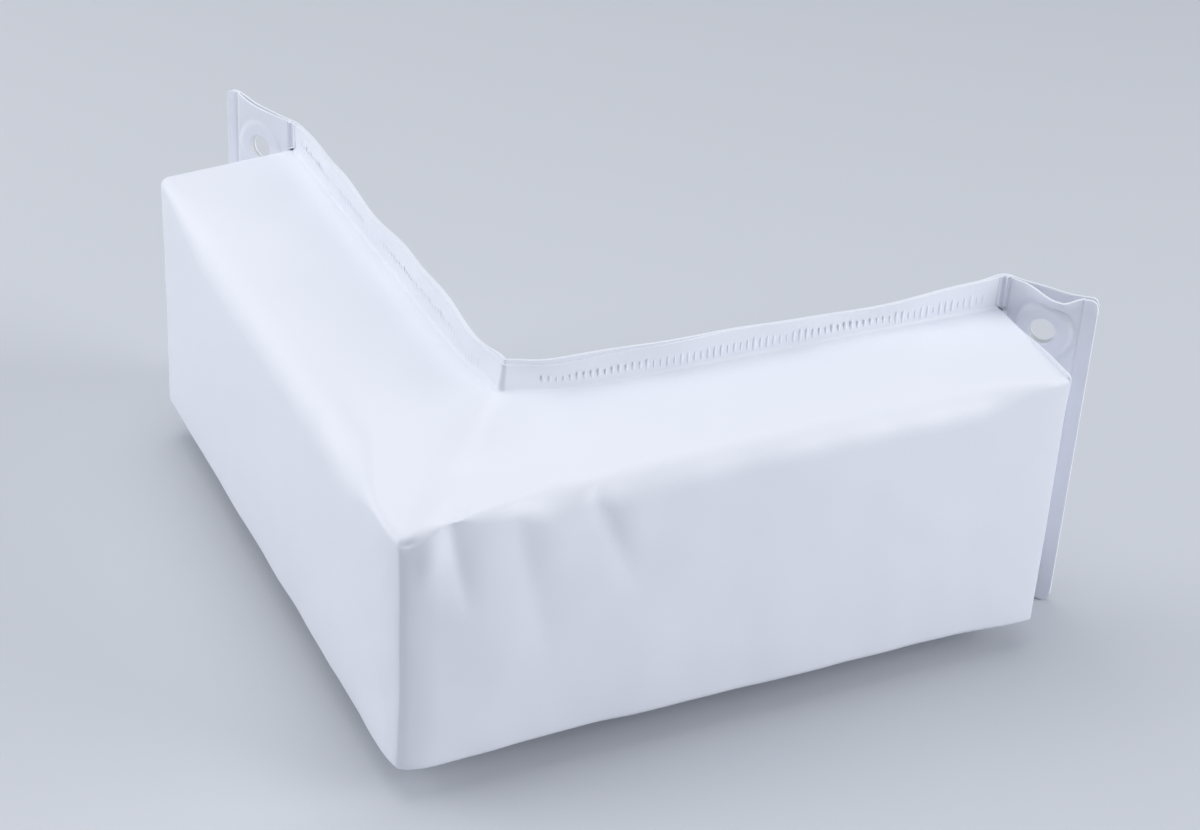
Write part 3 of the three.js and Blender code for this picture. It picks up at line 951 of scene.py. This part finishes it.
def weld_ribs(name, level, tree):
    """Ribs along both arms at one height. On the right arm they fade in as the bar gets its full pressure."""
    path = flange_path(level)
    place = path[:, 0] - path[:, 1]
    kept = (place < last_on_left) | (place > first_on_right)
    piece = new_piece(name, path, edges=[(k, k + 1) for k in range(len(path) - 1) if kept[k] and kept[k + 1]])
    uneven = 1 + 0.3 * np.sin(place / 11) * np.sin(place / 4.3)
    pressed = mix(0.45, 1.0, ramp(place, first_on_right, 70)) * uneven
    values = piece.data.attributes.new("pressed", "FLOAT", "POINT").data
    values.foreach_set("value", pressed.astype(np.float32))
    ribs = piece.modifiers.new("Ribs", "NODES")
    ribs.node_group = tree
    sizes = {"Pitch": rib_pitch, "Width": rib_width, "Proud": 2 * rib_proud, "Height": rib_height}
    for socket in tree.interface.items_tree:
        if socket.name in sizes:
            ribs[socket.identifier] = sizes[socket.name] * MM
    finish_mesh(piece)
    return piece


# %% [markdown]
# ## Materials
#
# The cover is PVC-coated sheet, calendered to a satin finish: smooth to the hand, with a broad soft gloss
# and a cool white. Each colour is written as the sRGB hex value that a colour picker would show, and one
# function turns it into the linear numbers that Blender works with.

# %% Colour and shader helpers
def linear(hex_colour):
    """An sRGB hex value as linear red, green, blue and alpha."""
    parts = [int(hex_colour[k:k + 2], 16) / 255 for k in (1, 3, 5)]
    return (*(part / 12.92 if part <= 0.04045 else ((part + 0.055) / 1.055) ** 2.4 for part in parts), 1.0)


def new_material(name, colour, roughness, ior):
    """A material with its node tree and its shader, for what is added to them."""
    material = bpy.data.materials.new(name)
    material.use_nodes = True
    shader = material.node_tree.nodes["Principled BSDF"]
    shader.inputs["Base Color"].default_value = linear(colour)
    shader.inputs["Roughness"].default_value = roughness
    shader.inputs["IOR"].default_value = ior
    return material, material.node_tree, shader


def grain(tree, shader, size_mm, depth_mm, strength):
    """A fine noise relief. One cycle of the pattern is size_mm long."""
    place = add_node(tree, "ShaderNodeTexCoord")
    pattern = add_node(tree, "ShaderNodeTexNoise", [("Vector", place.outputs["Object"])],
                       Scale=1 / (size_mm * MM), Detail=2.0)
    bump = add_node(tree, "ShaderNodeBump", [("Height", pattern.outputs[0])], Strength=strength,
                    Distance=depth_mm * MM)
    tree.links.new(bump.outputs[0], shader.inputs["Normal"])
    return place


# %% Calendered PVC sheet, satin white
# The calender rolls leave a faint grain. The real one is about 0.3 mm, drawn here at 0.9 mm so that it shows.
vinyl_sheet, tree, shader = new_material("calendered_pvc_sheet", "#EDEFF7", 0.44, 1.53)
place = grain(tree, shader, 0.9, 0.02, 0.35)
# Handling leaves some places a little duller than others, over about 30 mm.
dull = add_node(tree, "ShaderNodeTexNoise", [("Vector", place.outputs["Object"])],
                Scale=1 / (30 * MM), Detail=1.0)
spread = add_node(tree, "ShaderNodeMapRange", [("Value", dull.outputs[0])])
spread.inputs[3].default_value, spread.inputs[4].default_value = 0.38, 0.5
tree.links.new(spread.outputs[0], shader.inputs["Roughness"])

# %% Closed-cell polyethylene foam, knife-cut
# Cutting opens the outermost cells, about 1 mm wide, so the faces are matt and finely pitted.
foam_block, tree, shader = new_material("closed_cell_foam", "#F0EADA", 0.9, 1.5)
grain(tree, shader, 1.0, 0.15, 0.6)

# %% Moulded polypropylene
# It is milky where nothing is added to it, with the waxy half gloss of a moulded washer.
washer_plastic, tree, shader = new_material("moulded_polypropylene", "#E9E9E4", 0.35, 1.49)
print("materials", vinyl_sheet.name, foam_block.name, washer_plastic.name)

# %% Ribs, in the finished vinyl
ribs = rib_tree(vinyl_sheet)
upper_ribs = weld_ribs("upper_weld_ribs", pad_height + rib_above_pad, ribs)
lower_ribs = weld_ribs("lower_weld_ribs", -rib_above_pad, ribs)

# %% [markdown]
# ## Dress the model
#
# The soft pieces take the place of the plain nodes of the CAD model. The washers are rigid and keep their
# own mesh, so only their material changes.

# %% Hand the pieces to the model
for piece, node, slot in (
    (front_cover, "front_cover", "vinyl"),
    (back_panel, "back_panel", "vinyl"),
    (right_panel, "right_end_panel", "vinyl"),
    (left_panel, "left_end_panel", "vinyl"),
    (foam_core, "foam_core", "foam"),
):
    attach(piece, "root")
    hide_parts(node)
    piece.data.materials.clear()
    piece.data.materials.append({"vinyl": vinyl_sheet, "foam": foam_block}[slot])
for piece in (upper_ribs, lower_ribs):
    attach(piece, "root")

for name, node in frame["nodes"].items():
    if name.endswith("_washer"):
        node.data.materials.clear()
        node.data.materials.append(washer_plastic)

# %% [markdown]
# ## Camera, floor and light
#
# The camera looks down on the outer corner from about 0.9 m, as a product photo does. The light is plain
# and soft: one large softbox beyond each arm and one above. Each outer face gets a lamp of its own, while
# the corner between them turns away from both, and that is what makes its edge read.

# %% Camera
# Its place is in millimetres from the pad's corner and its turns are in degrees.
scene = bpy.context.scene
camera_data = bpy.data.cameras.new("camera")
camera_data.lens = 77.14
camera_data.sensor_width = 36
camera = bpy.data.objects.new("camera", camera_data)
scene.collection.objects.link(camera)
camera.location = pad_corner + np.array([-246.0, -628.8, 557.8]) * MM
camera.rotation_euler = Euler([math.radians(turn) for turn in (58.621, -2.820, -24.902)])
camera_data.clip_start = 0.01
scene.camera = camera
print("camera stands", round(float(np.linalg.norm(camera.location)), 2), "m from the middle of the model")

# %% Floor and light
floor_finish, tree, shader = new_material("plain_floor", "#CDD0D5", 0.8, 1.5)
floor_reach = 4
floor_corners = ((-1, -1), (1, -1), (1, 1), (-1, 1))
floor_places = [(side * floor_reach, end * floor_reach, 0) for side, end in floor_corners]
floor_mesh = bpy.data.meshes.new("floor")
floor_mesh.from_pydata(floor_places, [], [(0, 1, 2, 3)])
floor = bpy.data.objects.new("floor", floor_mesh)
scene.collection.objects.link(floor)
floor_mesh.materials.append(floor_finish)
light_aim = Vector((0, 0, 0.06))


def area_light(name, place, size, power):
    """A square softbox, its size in metres and its power in watts, turned to the middle of the model."""
    data = bpy.data.lights.new(name, "AREA")
    data.shape = "SQUARE"
    data.size = size
    data.energy = power
    lamp = bpy.data.objects.new(name, data)
    lamp.location = place
    lamp.rotation_euler = (light_aim - Vector(place)).to_track_quat("-Z", "Y").to_euler()
    scene.collection.objects.link(lamp)


area_light("left softbox", (-1.4, 0.7, 0.7), 1.2, 12.8)
area_light("right softbox", (1.25, -1.08, 0.7), 1.2, 18.0)
area_light("top softbox", (-0.15, 0.3, 1.8), 1.6, 15.0)
# The room itself gives a weak light, a little blue.
scene.world = bpy.data.worlds.new("studio")
scene.world.use_nodes = True
background = scene.world.node_tree.nodes["Background"]
background.inputs["Color"].default_value = (0.75, 0.82, 0.95, 1)
background.inputs["Strength"].default_value = 0.35
scene.view_settings.view_transform = "Standard"
